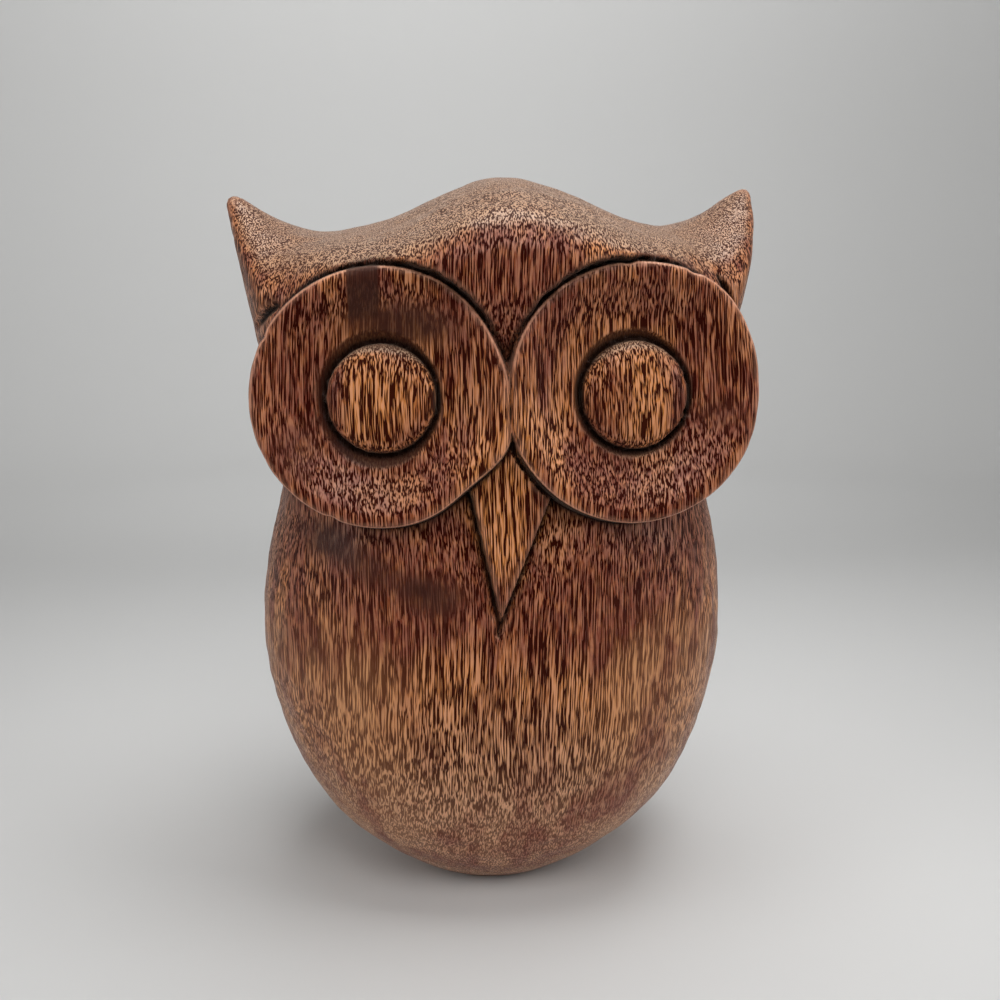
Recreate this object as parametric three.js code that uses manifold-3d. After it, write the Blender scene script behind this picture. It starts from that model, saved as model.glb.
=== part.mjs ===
// Carved wooden owl: an egg shaped body and a wide head with two horned ears, cut from one
// block of wood. Two big dished eye discs stand out of the face, with a kite shaped beak
// between them. Millimetres, +Z up, the face looks along -Y, and the origin is the centre
// of the flat underside.
import * as THREE from 'three';
import { mergeVertices } from 'three/addons/utils/BufferGeometryUtils.js';
import Module from 'manifold-3d';

const wasm = await Module();
wasm.setup();

// Body: reach from the upright axis to each side, at heights from the belly to the ear tips.
// Level sections are rounded oblongs: a squareness of 2 is an ellipse, and more is squarer
const BELLY_LEVEL = 72;
const BODY_STATIONS = [
  { height: BELLY_LEVEL, left: 60.1, right: 60.4, front: 51.0, back: 50.0, squareness: 2.45 },
  { height: 93, left: 57.0, right: 58.1, front: 49.8, back: 49.0, squareness: 2.45 },
  { height: 106, left: 53.8, right: 55.2, front: 47.2, back: 48.0, squareness: 2.6 },
  { height: 118, left: 53.4, right: 54.4, front: 46.1, back: 47.0, squareness: 3.0 },
  { height: 130, left: 55.4, right: 56.0, front: 46.1, back: 45.6, squareness: 3.3 },
  { height: 145, left: 58.6, right: 59.6, front: 49.2, back: 43.4, squareness: 3.3 },
  { height: 160, left: 61.8, right: 63.6, front: 50.5, back: 41.0, squareness: 3.0 },
  { height: 184, left: 66.8, right: 66.4, front: 48.0, back: 34.0, squareness: 2.4 },
];
const BACK_SQUARENESS = 2.2;

// Below the belly each side is part of an egg that would close this far under the belly
const EGG_DEPTH = { left: 76.0, right: 75.2, front: 76.0, back: 77.0 };
const EGG_POWER = { left: 1.95, right: 2.0, front: 2.15, back: 2.1 };
const FOOT_SQUARENESS = 1.95;
const FOOT_LEVEL = 25;

// Head: a crown hump on a skull that falls away to the front and, further, to the back
const SKULL_HEIGHT = 168.3;
const CROWN_RISE = 13.9;
const CROWN_X = 2.3;
const CROWN_WIDTH = { left: 24.5, right: 28.5 };
const SKULL_RIDGE_Y = -4;
const FRONT_FALL = 0.005;
const BACK_FALL = 0.0155;
const EARS = [
  { side: -1, x: -64.8, y: -8, rise: 10.6, reach: 26, power: 2.2 },
  { side: 1, x: 64.8, y: -8, rise: 12, reach: 22, power: 1.5 },
];
const EAR_OUTER_REACH = 6;
const EAR_FRONT_REACH = 26;
const EAR_BACK_REACH = 24;
const EAR_TIP_BLUNTNESS = 0.06;

// The edge between the sides and the top is rounded, wide over the brow and small at the ears
const BROW_ROUNDING = 7;
const EAR_ROUNDING = 2;
const EAR_ROUNDING_FROM = 30;
const EAR_ROUNDING_TO = 58;

// Forehead hollow above the place where the eye discs meet
const HOLLOW = { x: 0.6, height: 141, depth: 3, halfWidth: 12, halfHeight: 9 };

// Eye discs: turned out and leaned back a little, each with a ring groove and a pillow pupil
const DISC_TURN_OUT = THREE.MathUtils.degToRad(5.5);
const DISC_LEAN_BACK = THREE.MathUtils.degToRad(6);
const DISCS = [
  { side: -1, x: -28.2, y: -48, z: 132.8, radius: 29.1, bulge: 0 },
  { side: 1, x: 29.5, y: -48, z: 133.2, radius: 29.4, bulge: 1.7 },
];
const BULGE_DIRECTION = 0.85;
const BULGE_SPREAD = 0.45;
const DISC_WALL = 8;
const DISC_ROOT_DEPTH = 24;
const DISC_ROOT_RADIUS = 13;
const DISC_DRAFT = 0.08;
const RIM_ROUNDING = 0.9;
const RIM_LAND = 2.6;
const DISH_DEPTH = 4.2;
const DISH_POWER = 1.7;
const GROOVE_RADIUS = 13.9;
const GROOVE_DEPTH = 6.3;
const GROOVE_FLOOR = 0.4;
const PUPIL_RADIUS = 12.1;
const PUPIL_CROWN_DEPTH = 0.6;
const PUPIL_SQUARENESS = 3.5;

// Groove round the outside of each disc: how deep it is cut, and how it widens to the front
const MOAT_DEPTH = 7;
const MOAT_FLOOR_GAP = 0.2;
const MOAT_MOUTH_GAP = 2.2;
const MOAT_LENGTH = 30;

// Beak: corners of the kite as x and height, and its sloping front face
const BEAK = {
  top: { x: 1.6, z: 122 },
  right: { x: 10.1, z: 108 },
  tip: { x: -1.4, z: 78 },
  left: { x: -7.8, z: 109.5 },
};
const BEAK_TIP_REACH = 51.4;
const BEAK_SLOPE = 0.075;
const BEAK_DEPTH = 20;
const BEAK_ROUNDING = 1.1;

// The chest is pared away beside the beak
const PARING = { depth: 2.4, reach: 11, from: 70, to: 96 };

// Facets: the lines around the body are spaced so that one runs through each ear tip
const AROUND = 78;
const SIDE_PASSES = 4;
const EGG_ROWS = 12;
const SIDE_ROWS = 14;
const ROUNDING_ROWS = 3;
const TOP_ROWS = 8;
const DISC_AROUND = 60;
const RIM_ROWS = 2;
const DISH_ROWS = 3;
const PUPIL_ROWS = 5;
const MERGE_DISTANCE = 1e-4;

const WOOD_COLOUR = '#8d5d34';
const WOOD_ROUGHNESS = 0.45;

function smoothstep(from, to, value) {
  return THREE.MathUtils.smoothstep(value, from, to);
}

// A smooth curve through one column of the stations, level at the belly
function alongStations(column, height) {
  const heights = BODY_STATIONS.map((station) => station.height);
  const values = BODY_STATIONS.map((station) => station[column]);
  const last = heights.length - 1;
  const slope = (i) => (values[i + 1] - values[i]) / (heights[i + 1] - heights[i]);
  const tangent = (i) => {
    if (i === 0) return 0;
    if (i === last) return slope(last - 1);
    const below = heights[i] - heights[i - 1];
    const above = heights[i + 1] - heights[i];
    return (slope(i - 1) * above + slope(i) * below) / (below + above);
  };
  const level = THREE.MathUtils.clamp(height, heights[0], heights[last]);
  let i = 0;
  while (i < last - 1 && level > heights[i + 1]) i += 1;
  const span = heights[i + 1] - heights[i];
  const t = (level - heights[i]) / span;
  const eased = t * t * (3 - 2 * t);
  const start = t * (1 - t) * (1 - t) * span * tangent(i);
  const end = t * t * (t - 1) * span * tangent(i + 1);
  return values[i] * (1 - eased) + values[i + 1] * eased + start + end;
}

// Reach of one side at any height: the egg below the belly, the curve above it
function reach(side, height) {
  if (height >= BELLY_LEVEL) return alongStations(side, height);
  const down = (BELLY_LEVEL - height) / EGG_DEPTH[side];
  const power = EGG_POWER[side];
  return BODY_STATIONS[0][side] * (1 - down ** power) ** (1 / power);
}

// Distance outside the kite's nearest edge, in the plane of the face
function outsideBeak(x, z) {
  const corners = [BEAK.top, BEAK.right, BEAK.tip, BEAK.left];
  const distances = corners.map((from, i) => {
    const to = corners[(i + 1) % corners.length];
    const length = Math.hypot(to.x - from.x, to.z - from.z);
    return ((z - from.z) * (to.x - from.x) - (x - from.x) * (to.z - from.z)) / length;
  });
  return Math.max(0, ...distances);
}

// Reach of the carved front at x: the plain section less the hollow and the paring
function frontReach(x, height) {
  const across = (x - HOLLOW.x) / HOLLOW.halfWidth;
  const up = (height - HOLLOW.height) / HOLLOW.halfHeight;
  const hollow = HOLLOW.depth * Math.exp(-across * across - up * up);
  const near = Math.max(0, 1 - outsideBeak(x, height) / PARING.reach);
  const paring = PARING.depth * near ** 1.5 * smoothstep(PARING.from, PARING.to, height);
  return reach('front', height) - hollow - paring;
}

function frontSquareness(height) {
  if (height >= BELLY_LEVEL) return alongStations('squareness', height);
  const share = smoothstep(0, FOOT_LEVEL, height);
  return THREE.MathUtils.lerp(FOOT_SQUARENESS, BODY_STATIONS[0].squareness, share);
}

// A point of the upright side of the body, at an angle counted from +X towards +Y. The depth
// of the front changes with x, so the point is found in a few passes
function sidePoint(angle, height) {
  const cos = Math.cos(angle);
  const sin = Math.sin(angle);
  const power = sin < 0 ? frontSquareness(height) : BACK_SQUARENESS;
  const across = reach(cos < 0 ? 'left' : 'right', height);
  let distance = across;
  for (let pass = 0; pass < SIDE_PASSES; pass += 1) {
    const depth = sin < 0 ? frontReach(distance * cos, height) : reach('back', height);
    const sum = (Math.abs(cos) / across) ** power + (Math.abs(sin) / depth) ** power;
    distance = sum ** (-1 / power);
  }
  return new THREE.Vector3(distance * cos, distance * sin, height);
}

// How much an ear lifts the top at x, y: a peak with concave flanks
function earRise(ear, x, y) {
  const inward = ear.side * (ear.x - x);
  const across = inward > 0 ? inward / ear.reach : inward / EAR_OUTER_REACH;
  const along = y < ear.y ? (ear.y - y) / EAR_FRONT_REACH : (y - ear.y) / EAR_BACK_REACH;
  const distance = Math.hypot(across, along, EAR_TIP_BLUNTNESS);
  return ear.rise * Math.max(0, 1 + EAR_TIP_BLUNTNESS - distance) ** ear.power;
}

// Height of the head's top surface over x, y
function topHeight(x, y) {
  const width = x < CROWN_X ? CROWN_WIDTH.left : CROWN_WIDTH.right;
  const crown = CROWN_RISE * Math.exp(-(((x - CROWN_X) / width) ** 2));
  const fromRidge = y - SKULL_RIDGE_Y;
  const fall = (fromRidge < 0 ? FRONT_FALL : BACK_FALL) * fromRidge * fromRidge;
  const ears = EARS.reduce((sum, ear) => sum + earRise(ear, x, y), 0);
  return SKULL_HEIGHT + crown - fall + ears;
}

// The corner where the side at this angle would meet the top
function rimCorner(angle) {
  let low = BELLY_LEVEL;
  let high = 200;
  for (let step = 0; step < 40; step += 1) {
    const middle = (low + high) / 2;
    const point = sidePoint(angle, middle);
    if (topHeight(point.x, point.y) > middle) low = middle;
    else high = middle;
  }
  return sidePoint(angle, low);
}

function topPoint(corner, share) {
  const x = corner.x * share;
  const y = corner.y * share;
  return new THREE.Vector3(x, y, topHeight(x, y));
}

// One upright line of body points, from the middle of the base to the middle of the top
function bodyLine(angle) {
  const corner = rimCorner(angle);
  const toEar = smoothstep(EAR_ROUNDING_FROM, EAR_ROUNDING_TO, Math.abs(corner.x));
  const rounding = THREE.MathUtils.lerp(BROW_ROUNDING, EAR_ROUNDING, toEar);
  const sideEnd = sidePoint(angle, corner.z - rounding);
  const topStart = 1 - rounding / Math.hypot(corner.x, corner.y);
  const line = [new THREE.Vector3(0, 0, 0)];
  for (let row = 0; row < EGG_ROWS; row += 1) {
    const turn = (1 - row / EGG_ROWS) * (Math.PI / 2);
    line.push(sidePoint(angle, BELLY_LEVEL * (1 - Math.sin(turn))));
  }
  for (let row = 0; row < SIDE_ROWS; row += 1) {
    line.push(sidePoint(angle, THREE.MathUtils.lerp(BELLY_LEVEL, sideEnd.z, row / SIDE_ROWS)));
  }
  const bend = new THREE.QuadraticBezierCurve3(sideEnd, corner, topPoint(corner, topStart));
  line.push(...bend.getPoints(ROUNDING_ROWS));
  for (let row = 1; row <= TOP_ROWS; row += 1) {
    line.push(topPoint(corner, topStart * (1 - row / TOP_ROWS)));
  }
  return line;
}

// The body, a lathed drum whose upright lines are moved on to the carved shape
function bodyGeometry() {
  const rowCount = bodyLine(0).length;
  const profile = [];
  for (let row = 0; row < rowCount; row += 1) {
    const onAxis = row === 0 || row === rowCount - 1;
    profile.push(new THREE.Vector2(onAxis ? 0 : 1, row));
  }
  const drum = new THREE.LatheGeometry(profile, AROUND);
  const position = drum.getAttribute('position');
  for (let step = 0; step <= AROUND; step += 1) {
    const line = bodyLine(((step % AROUND) / AROUND - 0.25) * 2 * Math.PI);
    line.forEach((point, row) => position.setXYZ(step * rowCount + row, point.x, point.y, point.z));
  }
  return drum;
}

// Profile of an eye disc as radius and height above its rim plane, from the root to the pupil
function discProfile(radius) {
  const points = [
    [0, -DISC_ROOT_DEPTH],
    [DISC_ROOT_RADIUS, -DISC_ROOT_DEPTH],
    [radius + DISC_DRAFT * DISC_WALL, -DISC_WALL],
  ];
  for (let row = 0; row <= RIM_ROWS; row += 1) {
    const turn = (row / RIM_ROWS) * (Math.PI / 2);
    const inset = RIM_ROUNDING * (1 - Math.cos(turn));
    points.push([radius - inset, -RIM_ROUNDING * (1 - Math.sin(turn))]);
  }
  for (let row = 0; row <= DISH_ROWS; row += 1) {
    const t = row / DISH_ROWS;
    const across = THREE.MathUtils.lerp(radius - RIM_LAND, GROOVE_RADIUS, t);
    points.push([across, -DISH_DEPTH * (1 - (1 - t) ** DISH_POWER)]);
  }
  points.push([PUPIL_RADIUS + GROOVE_FLOOR, -GROOVE_DEPTH]);
  for (let row = 0; row <= PUPIL_ROWS; row += 1) {
    const share = 1 - (row / PUPIL_ROWS) ** 2;
    const rise = (1 - share ** PUPIL_SQUARENESS) ** (1 / PUPIL_SQUARENESS);
    const height = THREE.MathUtils.lerp(-GROOVE_DEPTH, -PUPIL_CROWN_DEPTH, rise);
    points.push([PUPIL_RADIUS * share, height]);
  }
  return points.map(([across, height]) => new THREE.Vector2(across, height));
}

// Swells a lathed shape outwards on the side where the carved rim bulges
function swell(geometry, disc) {
  const position = geometry.getAttribute('position');
  for (let i = 0; i < position.count; i += 1) {
    const x = position.getX(i);
    const z = position.getZ(i);
    const across = Math.hypot(x, z);
    const away = Math.atan2(-z, x) - BULGE_DIRECTION;
    const share = Math.max(0, (across - GROOVE_RADIUS) / (disc.radius - GROOVE_RADIUS));
    const bulge = disc.bulge * Math.exp(-((away / BULGE_SPREAD) ** 2)) * share;
    const scale = across > 0 ? 1 + bulge / across : 1;
    position.setX(i, x * scale);
    position.setZ(i, z * scale);
  }
}

// A lathed shape, swollen, turned from its own axis to the way the disc faces and put in place
function latheOnDisc(profile, disc) {
  const geometry = new THREE.LatheGeometry(profile, DISC_AROUND);
  swell(geometry, disc);
  geometry.rotateX(Math.PI - DISC_LEAN_BACK);
  geometry.rotateZ(disc.side * DISC_TURN_OUT);
  geometry.translate(disc.x, disc.y, disc.z);
  return geometry;
}

function discGeometry(disc) {
  return latheOnDisc(discProfile(disc.radius), disc);
}

// What is cut out of the body round and in front of a disc
function moatGeometry(disc) {
  const floor = disc.radius + MOAT_FLOOR_GAP;
  const mouth = disc.radius + MOAT_MOUTH_GAP;
  const profile = [
    new THREE.Vector2(0, -MOAT_DEPTH),
    new THREE.Vector2(floor, -MOAT_DEPTH),
    new THREE.Vector2(mouth, MOAT_DEPTH),
    new THREE.Vector2(mouth, MOAT_LENGTH),
    new THREE.Vector2(0, MOAT_LENGTH),
  ];
  return latheOnDisc(profile, disc);
}

// The kite, extruded into the chest with rounded front edges and tipped so that it rises
// off the chest towards the top
function beakGeometry() {
  const kite = new THREE.Shape();
  kite.moveTo(BEAK.top.x, BEAK.top.z - BEAK.tip.z);
  kite.lineTo(BEAK.left.x, BEAK.left.z - BEAK.tip.z);
  kite.lineTo(BEAK.tip.x, 0);
  kite.lineTo(BEAK.right.x, BEAK.right.z - BEAK.tip.z);
  kite.closePath();
  const beak = new THREE.ExtrudeGeometry(kite, {
    depth: BEAK_DEPTH,
    bevelThickness: BEAK_ROUNDING,
    bevelSize: BEAK_ROUNDING,
    bevelOffset: -BEAK_ROUNDING,
    bevelSegments: 2,
    steps: 1,
  });
  beak.rotateX(Math.PI / 2);
  beak.translate(0, BEAK_DEPTH + BEAK_ROUNDING, 0);
  beak.rotateX(-Math.atan(BEAK_SLOPE));
  beak.translate(0, -BEAK_TIP_REACH - BEAK_ROUNDING, BEAK.tip.z);
  return beak;
}

// A closed mesh as a solid that can be joined and cut
function solidFrom(geometry) {
  geometry.deleteAttribute('normal');
  geometry.deleteAttribute('uv');
  const merged = mergeVertices(geometry, MERGE_DISTANCE);
  const index = merged.getIndex().array;
  const triangles = [];
  for (let i = 0; i < index.length; i += 3) {
    const [a, b, c] = [index[i], index[i + 1], index[i + 2]];
    if (a !== b && b !== c && c !== a) triangles.push(a, b, c);
  }
  return new wasm.Manifold(new wasm.Mesh({
    numProp: 3,
    vertProperties: merged.getAttribute('position').array,
    triVerts: Uint32Array.from(triangles),
  }));
}

function carveOwl() {
  let owl = solidFrom(bodyGeometry());
  DISCS.forEach((disc) => {
    owl = owl.subtract(solidFrom(moatGeometry(disc)));
  });
  DISCS.forEach((disc) => {
    owl = owl.add(solidFrom(discGeometry(disc)));
  });
  return owl.add(solidFrom(beakGeometry()));
}

function geometryFrom(solid) {
  const { vertProperties, triVerts } = solid.getMesh();
  const geometry = new THREE.BufferGeometry();
  geometry.setAttribute('position', new THREE.BufferAttribute(vertProperties, 3));
  geometry.setIndex(new THREE.BufferAttribute(triVerts, 1));
  geometry.computeVertexNormals();
  return geometry;
}

const wood = new THREE.MeshStandardMaterial({
  color: WOOD_COLOUR,
  roughness: WOOD_ROUGHNESS,
  metalness: 0,
});
const carvedOwl = new THREE.Mesh(geometryFrom(carveOwl()), wood);
carvedOwl.name = 'carved_owl';

const owl = new THREE.Group();
owl.add(carvedOwl);

export default owl;
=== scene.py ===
"""Carved wooden owl: one block of open pored hardwood, stained dark and lacquered satin.

The whole carving is one closed skin. Its shape is a formula: the distance from any point to
the carved surface, put together from the body, the eye discs and the beak as a carver would
cut them, and skinned where that distance is nought. Lengths are in metres, and the face
looks along -Y.
"""
import functools
import math

import bpy
import numpy as np
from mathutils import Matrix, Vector


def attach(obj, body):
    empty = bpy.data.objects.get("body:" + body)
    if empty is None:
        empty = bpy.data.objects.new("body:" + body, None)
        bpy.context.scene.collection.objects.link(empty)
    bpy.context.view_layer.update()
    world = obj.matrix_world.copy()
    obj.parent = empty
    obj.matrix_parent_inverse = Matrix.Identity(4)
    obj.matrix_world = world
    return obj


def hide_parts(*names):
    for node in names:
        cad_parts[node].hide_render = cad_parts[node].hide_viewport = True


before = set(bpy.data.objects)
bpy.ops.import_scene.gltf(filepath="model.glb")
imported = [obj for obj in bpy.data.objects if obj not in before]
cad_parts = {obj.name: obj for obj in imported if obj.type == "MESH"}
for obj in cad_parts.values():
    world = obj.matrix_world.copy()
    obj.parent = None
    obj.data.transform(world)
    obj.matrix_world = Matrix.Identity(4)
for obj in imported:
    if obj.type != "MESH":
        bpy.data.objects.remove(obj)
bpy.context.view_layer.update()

bl_info = {
    "name": "Carved Wooden Owl",
    "version": (1, 0, 0),
    "blender": (4, 5, 0),
    "location": "3D View > Sidebar > Owl",
    "description": "Builds a carved, stained wooden owl and the studio it stands in",
    "category": "Object",
}

MM = 0.001
NODE = "carved_owl"

# Body: reach from the upright axis to each side, at heights from the belly to the ear tips,
# and how square the front of the level section is there (2 is an ellipse)
BELLY_LEVEL = 72 * MM
LEVELS = np.array([72, 93, 106, 118, 130, 145, 160, 184]) * MM
REACH = {
    "left": np.array([60.1, 57.0, 53.8, 53.4, 55.4, 58.6, 61.8, 66.8]) * MM,
    "right": np.array([60.4, 58.1, 55.2, 54.4, 56.0, 59.6, 63.6, 66.4]) * MM,
    "front": np.array([51.0, 49.8, 47.2, 46.1, 46.1, 49.2, 50.5, 48.0]) * MM,
    "back": np.array([50.0, 49.0, 48.0, 47.0, 45.6, 43.4, 41.0, 34.0]) * MM,
}
CHEST_SQUARENESS = np.array([2.45, 2.45, 2.6, 3.0, 3.3, 3.3, 3.0, 2.4])
BACK_SQUARENESS = 2.2

# Below the belly each side is part of an egg that would close this far under the belly
EGG_DEPTH = {"left": 76.0 * MM, "right": 75.2 * MM, "front": 76.0 * MM, "back": 77.0 * MM}
EGG_POWER = {"left": 1.95, "right": 2.0, "front": 2.15, "back": 2.1}
FOOT_SQUARENESS = 1.95
FOOT_LEVEL = 25 * MM

# Head: the skull with its crown hump, how fast its top curves down to the front, the front
# corners and the back, and the two ears, which are peaks on it
SKULL_HEIGHT = 168.3 * MM
CROWN_X = 2.3 * MM
CROWN_WIDTH = {"left": 24.5 * MM, "right": 28.5 * MM}
SKULL_RIDGE_Y = -4 * MM
FRONT_FALL = 0.005 / MM
CORNER_FALL = 0.0055 / MM
CORNER_FALL_FROM, CORNER_FALL_TO = 38 * MM, 54 * MM
BACK_FALL = 0.0155 / MM
EARS = (
    {"side": -1, "x": -64.8 * MM, "y": -8 * MM, "rise": 10.6 * MM, "reach": 26 * MM, "power": 2.2},
    {"side": 1, "x": 64.8 * MM, "y": -8 * MM, "rise": 12 * MM, "reach": 22 * MM, "power": 1.5},
)
EAR_OUTER_REACH = 6 * MM
EAR_FRONT_REACH = 26 * MM
EAR_BACK_REACH = 24 * MM
EAR_TIP_BLUNTNESS = 0.1
BROW_ROUNDING = 7 * MM
CORNER_ROUNDING = 14 * MM
EAR_ROUNDING = 4 * MM
EAR_ROUNDING_FROM = 30 * MM
EAR_ROUNDING_TO = 58 * MM
CORNER_FACING = (math.radians(20), math.radians(45))

# The height of a point over a sloping surface times this is about its distance from it
TOP_LEVELLING, FACE_LEVELLING = 0.85, 0.8

# The gouge's waves, with a shaving off all over, so that they stay inside the plain solid.
# The eye discs have a share of them
LONG_WAVES, SHORT_WAVES = {"length": 17 * MM, "seed": 5}, {"length": 7 * MM, "seed": 6}
RAGGED_WAVES = {"length": 4 * MM, "seed": 31}
WAVE_COUNT, WAVE_SPREAD, WAVE_HEIGHT = 10, (0.6, 1.3), 0.6
SHORT_SHARE = 0.5
SHAVING = 0.2 * MM
DISC_WAVES, DISC_SHAVING = 0.5, 0.25

# Forehead hollow above the place where the eye discs meet
HOLLOW_X, HOLLOW_LEVEL = 0.6 * MM, 141 * MM
HOLLOW_DEPTH, HOLLOW_HALF_WIDTH, HOLLOW_HALF_HEIGHT = 3 * MM, 12 * MM, 9 * MM

# Eye discs. Directions on them are counted from the right as one looks at the face. A
# swelling is the direction, spread and height of a place where the rim was cut wide of the
# circle, or within it where the height is negative, and nicks are small cuts in the rim. The
# ring groove's wander is how much wider it was cut all round, then to the right, upwards and
# to both sides. The ear cut is the direction and spread of the short cut under the ear.
# The dish is a flare from the flat rim by this share, and an even bowl for the rest
DISC_TURN_OUT = math.radians(5.5)
DISC_LEAN_BACK = math.radians(6)
DISC_WALL = 8 * MM
DISC_ROOT_DEPTH = 24 * MM
DISC_ROOT_RADIUS = 13 * MM
DISC_DRAFT = 0.08
DISH_POWER = 1.7
DISH_FLARE = 0.4
RIM_ROUNDING = 1.1 * MM
GROOVE_FLOOR = 0.4 * MM
PUPIL_CROWN_DEPTH = 0.6 * MM
PUPIL_SQUARENESS = 3.5
DISCS = (
    {
        "side": -1,
        "centre": Vector((-28.2, -48, 132.8)) * MM,
        "radius_change": -0.15 * MM,
        "swellings": (
            (math.radians(-20), 0.28, 1.7 * MM),
            (math.radians(-46), 0.3, -1.0 * MM),
            (math.radians(28), 0.35, -0.6 * MM),
        ),
        "nicks": (math.radians(152), math.radians(-112)),
        "pupil_shift": (0.0, -0.2 * MM),
        "groove_wander": (1.1 * MM, -0.58 * MM, -0.1 * MM, -0.8 * MM),
        "ear_cut": (math.radians(147), math.radians(9)),
    },
    {
        "side": 1,
        "centre": Vector((29.5, -48, 133.2)) * MM,
        "radius_change": 0.15 * MM,
        "swellings": (
            (0.85, 0.45, 1.7 * MM),
            (math.radians(203), 0.26, 0.2 * MM),
            (math.radians(168), 0.2, -0.3 * MM),
        ),
        "nicks": (math.radians(93), math.radians(63)),
        "pupil_shift": (0.9 * MM, -0.3 * MM),
        "groove_wander": (0.4 * MM, -0.8 * MM, 0.45 * MM, -0.48 * MM),
        "ear_cut": (math.radians(41), math.radians(9)),
    },
)
NICK_DEPTH = 0.45 * MM
NICK_SPREAD = 0.045
EAR_CUT_GAP, EAR_CUT_TILT = 4.2 * MM, 2 * MM
EAR_CUT_WIDTH, EAR_CUT_DEPTH = 0.9 * MM, 1.6 * MM
EAR_CUT_LEVELS = (-21 * MM, -12.6 * MM)

# Groove cut round each disc, ragged at its mouth, and the shallow one where the discs meet,
# which leans over below their middles
MOAT_DEPTH = 7 * MM
MOAT_FLOOR_GAP = 0.2 * MM
MOAT_MOUTH_GAP = 1.5 * MM
MOAT_ROUNDING = 0.9 * MM
MOAT_RAGGEDNESS = 0.45 * MM
MEETING_X, MEETING_LEAN = 0.7 * MM, 0.08
MEETING_LEVEL = 133 * MM
MEETING_DEPTH, MEETING_WIDTH = 1.1 * MM, 0.45 * MM

# Beak: corners of the kite as x and height, from the top round to the right. Its upper
# edges are tucked under the rims of the discs, which bound what shows of it
BEAK_CORNERS = np.array([(1.6, 128.0), (11.4, 111.4), (-1.4, 80.5), (-8.6, 113.5)]) * MM
BEAK_TIP = BEAK_CORNERS[2]
BEAK_TIP_REACH = 51.4 * MM
BEAK_SLOPE = 0.075
BEAK_CREST = 9.0
BEAK_DRAFT = 0.18
BEAK_FLARE_DEPTH = 6 * MM
BEAK_ROUNDING = 0.9 * MM
BEAK_EYE_GAPS = (0.35 * MM, 1.3 * MM)
BEAK_EYE_GAP_DEPTH = 4.5 * MM
BEAK_EYE_GAP_ROUNDING = 0.5 * MM
BEAK_ROOT_Y = -30 * MM

# Scored outline of the beak, which fades out under the discs, and the line below its tip
BEAK_LINE_WIDTH, BEAK_LINE_DEPTH = 0.7 * MM, 1.0 * MM
BEAK_LINE_OUTSIDE = 0.3
BEAK_LINE_LEVELS = (116 * MM, 110 * MM)
BEAK_MARK_LEVEL = 118 * MM
TIP_LINE_END = np.array([-1.9, 78.1]) * MM
TIP_LINE_WIDTH, TIP_LINE_DEPTH = 0.6 * MM, 0.9 * MM

# How softly the beak and the discs run into the body
BEAK_BLEND, DISC_BLEND = 0.3 * MM, 0.4 * MM

# The chest is pared away beside the beak, most at its upper end
PARING_DEPTH, PARING_REACH = 2.4 * MM, 11 * MM
PARING_FROM, PARING_TO = 70 * MM, 96 * MM

# Skin: where each run of cells starts and the size of its cells in mm, fine over the face
# and coarser over the plain parts
SKIN_X = ((-68, 0.75), (-58, 0.95), (58, 0.75), (68, None))
SKIN_Y = ((-55, 0.85), (-29, 1.7), (53, None))
SKIN_Z = ((-1.5, 1.3), (74, 0.82), (168, 0.9), (185, None))
JUST_INSIDE = -0.001 * MM


def smoothstep(low, high, value):
    t = np.clip((value - low) / (high - low), 0, 1)
    return t * t * (3 - 2 * t)


def smooth_max(a, b, width):
    near = np.maximum(width - np.abs(a - b), 0) / width
    return np.maximum(a, b) + near * near * width / 4


def smooth_min(a, b, width):
    return -smooth_max(-a, -b, width)


def ripple(x, y, z, length, seed):
    """Smooth random waves of about the given length, between about -1 and 1."""
    rng = np.random.default_rng(seed)
    total = 0
    for _ in range(WAVE_COUNT):
        way = rng.normal(size=3)
        way *= 2 * math.pi / length * rng.uniform(*WAVE_SPREAD) / np.linalg.norm(way)
        total = total + np.sin(way[0] * x + way[1] * y + way[2] * z + rng.uniform(0, 2 * math.pi))
    return total * math.sqrt(2 / WAVE_COUNT) * WAVE_HEIGHT


def along_levels(values, z):
    """A smooth curve through one value per level, flat at the belly."""
    slopes = np.diff(values) / np.diff(LEVELS)
    gaps = np.diff(LEVELS)
    tangents = np.empty(len(values))
    tangents[0] = 0
    tangents[-1] = slopes[-1]
    tangents[1:-1] = (slopes[:-1] * gaps[1:] + slopes[1:] * gaps[:-1]) / (gaps[1:] + gaps[:-1])
    level = np.clip(z, LEVELS[0], LEVELS[-1])
    i = np.clip(np.searchsorted(LEVELS, level, side="right") - 1, 0, len(LEVELS) - 2)
    t = (level - LEVELS[i]) / gaps[i]
    eased = t * t * (3 - 2 * t)
    start = t * (1 - t) ** 2 * gaps[i] * tangents[i]
    end = t * t * (t - 1) * gaps[i] * tangents[i + 1]
    return values[i] * (1 - eased) + values[i + 1] * eased + start + end


def reach(side, z):
    """How far the body reaches to one side at height z: an egg below the belly."""
    down = np.clip((BELLY_LEVEL - z) / EGG_DEPTH[side], 0, 1)
    egg = REACH[side][0] * (1 - down ** EGG_POWER[side]) ** (1 / EGG_POWER[side])
    return np.maximum(np.where(z < BELLY_LEVEL, egg, along_levels(REACH[side], z)), 1e-6)


def beak_distance(x, z):
    """Distance outside the kite's nearest edge, in the plane of the face."""
    distance = np.full(np.shape(x), -1.0)
    for i, start in enumerate(BEAK_CORNERS):
        edge = BEAK_CORNERS[(i + 1) % len(BEAK_CORNERS)] - start
        away = ((z - start[1]) * edge[0] - (x - start[0]) * edge[1]) / np.hypot(*edge)
        distance = np.maximum(distance, away)
    return distance


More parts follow.
